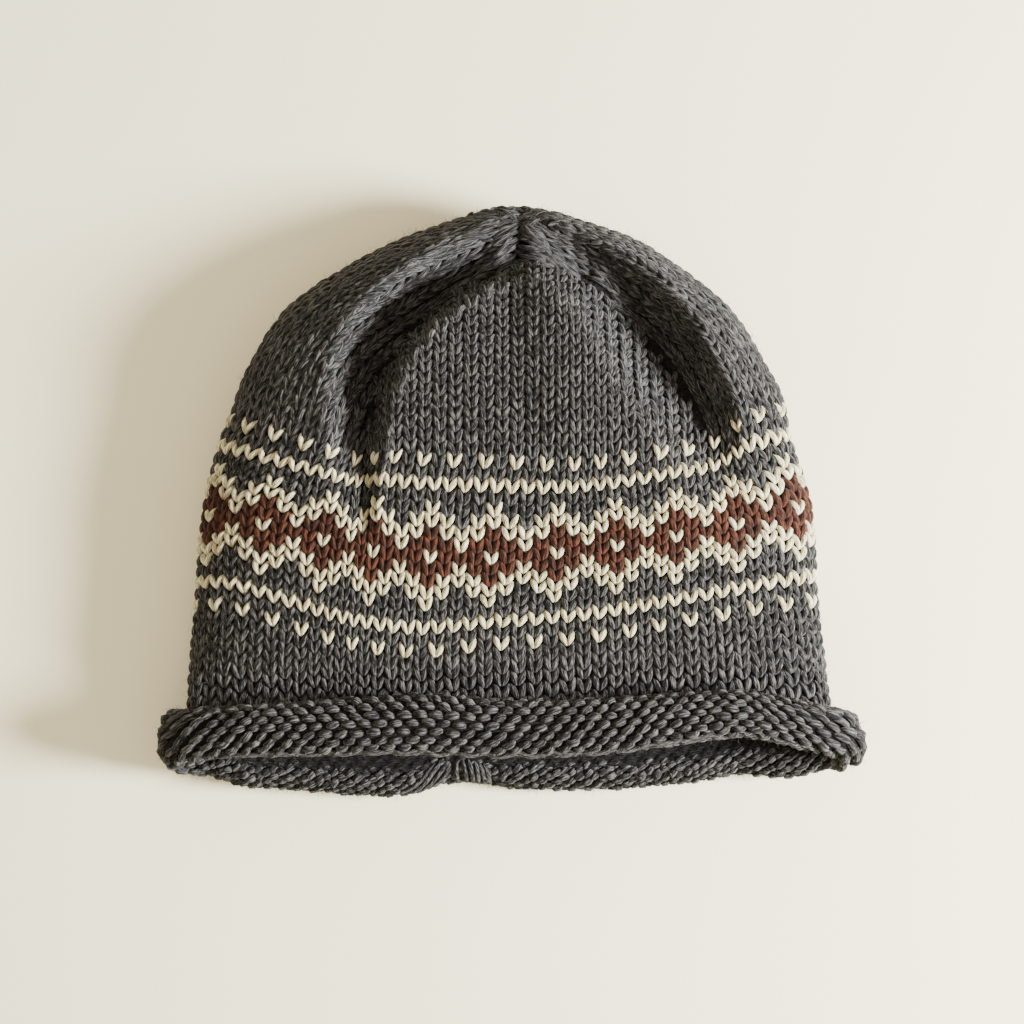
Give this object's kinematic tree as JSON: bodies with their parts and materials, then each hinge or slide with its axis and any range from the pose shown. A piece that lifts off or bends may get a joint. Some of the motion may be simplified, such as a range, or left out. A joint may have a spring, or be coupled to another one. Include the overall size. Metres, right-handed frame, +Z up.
{
  "type": "knit hat",
  "caption": "Worsted knit beanie with a patterned band and a rolled brim, lying on its back with its crown sunk in.",
  "frame": {"origin": "the middle of the hat's footprint, on the surface it lies on", "axes": "+Z up from the surface, +Y from the brim to the tip of the crown, +X across the hat, to the right seen from the brim"},
  "size_m": [0.2331, 0.1968, 0.042],
  "materials": {
    "charcoal_wool": "charcoal heather worsted wool, stockinette, matt with a slight fuzz",
    "patterned_wool": "stranded knitting in charcoal, cream and rust brown wool, matt",
    "cream_wool": "undyed cream worsted wool, matt",
    "rust_wool": "rust brown worsted wool, matt"
  },
  "bodies": {
    "root": {"rolled_brim": "charcoal_wool", "side_wall": "charcoal_wool", "colourwork_band": "patterned_wool", "crown": "charcoal_wool"}
  },
  "joints": []
}
